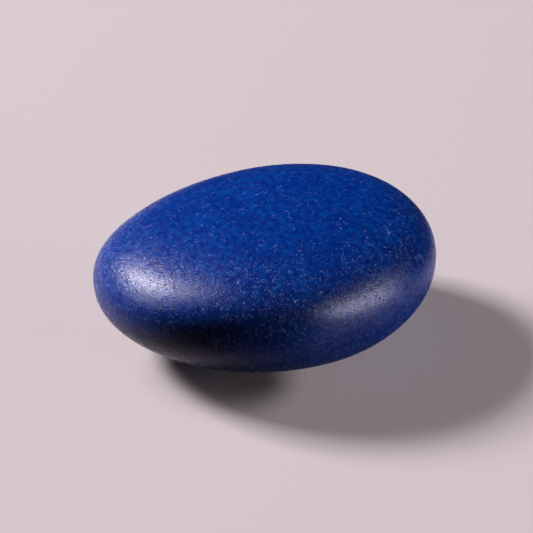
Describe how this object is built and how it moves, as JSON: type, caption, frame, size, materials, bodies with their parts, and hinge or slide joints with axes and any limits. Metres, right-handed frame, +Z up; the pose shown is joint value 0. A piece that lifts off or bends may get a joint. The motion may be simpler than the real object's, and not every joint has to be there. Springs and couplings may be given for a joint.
{
  "type": "palm stone",
  "caption": "Smooth oval pebble that fits the palm, with a low dome on top, full rounded sides and a small flat underneath to rest on.",
  "frame": {"origin": "centre of the bounding box at its base, on the surface the stone rests on", "axes": "+X along the stone's long axis towards its thicker end, +Y across it, +Z up from the resting flat to the domed top"},
  "size_m": [0.066, 0.0504, 0.0296],
  "materials": {
    "blue_stone": "deep ultramarine blue, dense fine pale flecks, satin hand polish with tiny pits"
  },
  "bodies": {
    "root": {"palm_stone": "blue_stone"}
  },
  "joints": []
}
